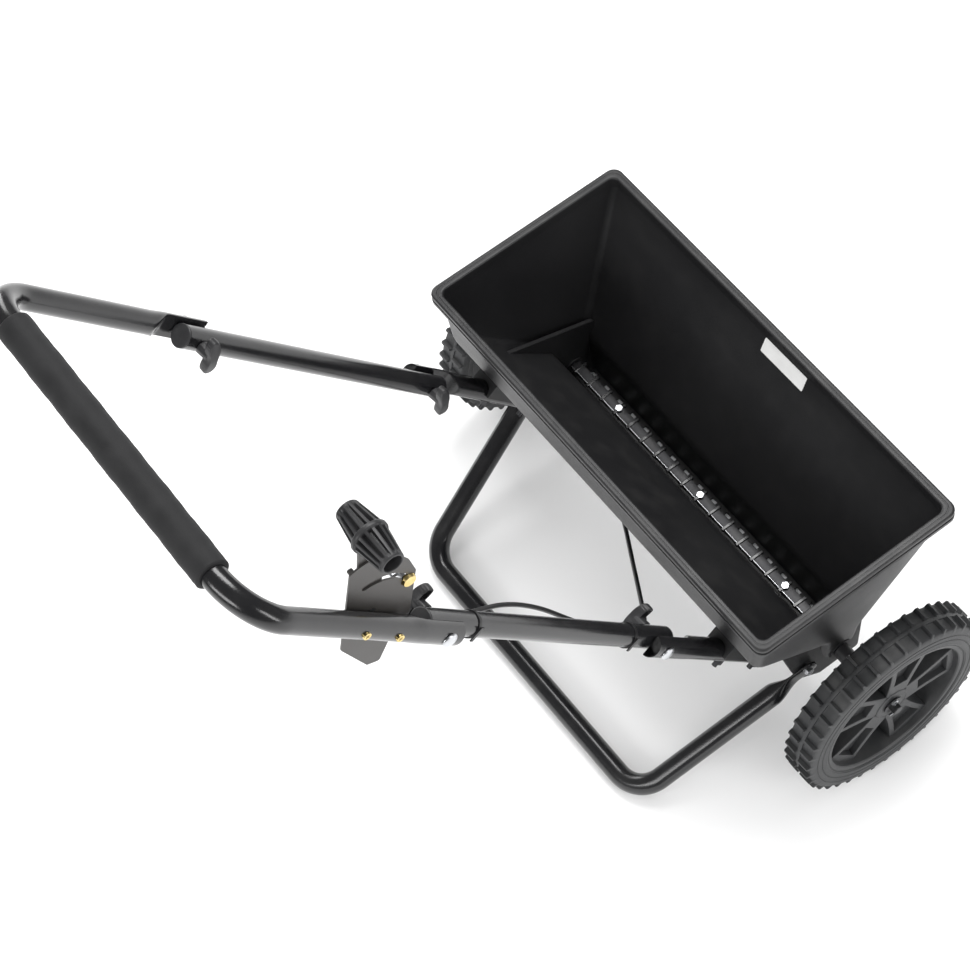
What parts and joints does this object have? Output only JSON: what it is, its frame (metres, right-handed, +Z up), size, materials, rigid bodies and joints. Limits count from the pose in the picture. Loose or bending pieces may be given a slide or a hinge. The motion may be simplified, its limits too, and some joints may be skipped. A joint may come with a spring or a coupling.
{
  "type": "drop spreader",
  "caption": "Push drop spreader: long black hopper with a slotted floor and agitator between ribbed wheels, folding tube handle with a rate lever and cable.",
  "frame": {"origin": "on the ground under the middle of the whole machine, wheels and handle included", "axes": "+X towards the driven wheel on the right of the person pushing, +Y forward, the way it is pushed, +Z up"},
  "size_m": [0.692, 0.7562, 0.9262],
  "materials": {
    "hopper_plastic": "matte, lightly textured",
    "wheel_plastic": "satin moulded",
    "tread_plastic": "matte moulded",
    "black_paint": "gloss powder coat",
    "foam": "matte foam",
    "knob_plastic": "satin moulded",
    "zinc": "zinc plated",
    "brass": "yellow zinc plated",
    "cable_jacket": "smooth",
    "label": "printed film, left blank"
  },
  "bodies": {
    "frame": {"blank_label": "label", "bush_left": "hopper_plastic", "bush_right": "hopper_plastic", "cable_bracket": "black_paint", "cable_ferrule": "zinc", "cable_lower": "cable_jacket", "gate_rails": "black_paint", "hopper": "hopper_plastic", "lower_fold_bolts": "zinc", "lower_tube_left": "black_paint", "lower_tube_right": "black_paint", "seat_bolts": "zinc", "stand": "black_paint", "stand_bolts": "zinc"},
    "drive_axle": {"axle": "zinc", "axle_spacers": "hopper_plastic", "axle_washers": "zinc", "agitator": "hopper_plastic", "agitator_bolts": "zinc", "cotter_pins": "zinc", "drive_pin": "zinc", "drive_wheel": "wheel_plastic", "drive_wheel_tread": "tread_plastic"},
    "free_wheel": {"free_wheel": "wheel_plastic", "free_wheel_tread": "tread_plastic"},
    "gate": {"gate_plate": "zinc", "gate_wire": "zinc"},
    "middle_handle": {"middle_tube_left": "black_paint", "middle_tube_right": "black_paint", "middle_tube_caps": "knob_plastic", "cable_middle": "cable_jacket"},
    "upper_handle": {"upper_handle": "black_paint", "foam_grip": "foam", "upper_fold_bolts": "zinc", "control_plate": "black_paint", "plate_screws": "brass", "lever_pivot": "zinc", "lever_pivot_nut": "zinc", "cable_clamp": "zinc", "cable_upper": "cable_jacket", "lever_wire": "zinc"},
    "lever": {"control_lever": "black_paint", "lever_grip": "knob_plastic"},
    "rate_stop": {"rate_stop_bolt": "brass", "rate_stop_wing_nut": "zinc"},
    "lower_left_knob": {"lower_left_knob": "knob_plastic"},
    "lower_right_knob": {"lower_right_knob": "knob_plastic"},
    "upper_left_knob": {"upper_left_knob": "knob_plastic"},
    "upper_right_knob": {"upper_right_knob": "knob_plastic"}
  },
  "joints": [
    {"name": "drive_wheel_spin", "type": "hinge", "parent": "frame", "child": "drive_axle", "pos_m": [0, 0.25109, 0.127], "axis": [1, 0, 0], "continuous": true},
    {"name": "free_wheel_spin", "type": "hinge", "parent": "frame", "child": "free_wheel", "pos_m": [0, 0.25109, 0.127], "axis": [1, 0, 0], "continuous": true},
    {"name": "lower_fold", "type": "hinge", "parent": "frame", "child": "middle_handle", "pos_m": [0, 0.03709, 0.353], "axis": [1, 0, 0], "range_deg": [-88, 55]},
    {"name": "upper_fold", "type": "hinge", "parent": "middle_handle", "child": "upper_handle", "pos_m": [0, -0.19576, 0.67824], "axis": [-1, 0, 0], "range_deg": [0, 125]},
    {"name": "lever_turn", "type": "hinge", "parent": "upper_handle", "child": "lever", "pos_m": [0, -0.25084, 0.76548], "axis": [-1, 0, 0], "range_deg": [0, 28], "deforming": ["lever_wire"]},
    {"name": "gate_slide", "type": "slide", "parent": "frame", "child": "gate", "axis": [-1, 0, 0], "range_m": [0, 0.0127]},
    {"name": "rate_stop_turn", "type": "hinge", "parent": "upper_handle", "child": "rate_stop", "pos_m": [0, -0.25084, 0.76548], "axis": [-1, 0, 0], "range_deg": [-28, 0]},
    {"name": "lower_left_knob_turn", "type": "hinge", "parent": "frame", "child": "lower_left_knob", "pos_m": [-0.175, 0.03709, 0.353], "axis": [1, 0, 0], "continuous": true},
    {"name": "lower_right_knob_turn", "type": "hinge", "parent": "frame", "child": "lower_right_knob", "pos_m": [0.175, 0.03709, 0.353], "axis": [1, 0, 0], "continuous": true},
    {"name": "upper_left_knob_turn", "type": "hinge", "parent": "upper_handle", "child": "upper_left_knob", "pos_m": [-0.175, -0.19576, 0.67824], "axis": [1, 0, 0], "continuous": true},
    {"name": "upper_right_knob_turn", "type": "hinge", "parent": "upper_handle", "child": "upper_right_knob", "pos_m": [0.175, -0.19576, 0.67824], "axis": [1, 0, 0], "continuous": true}
  ],
  "couplings": [
    {"joint": "gate_slide", "follows": "lever_turn", "m_per_rad": 0.02599}
  ]
}
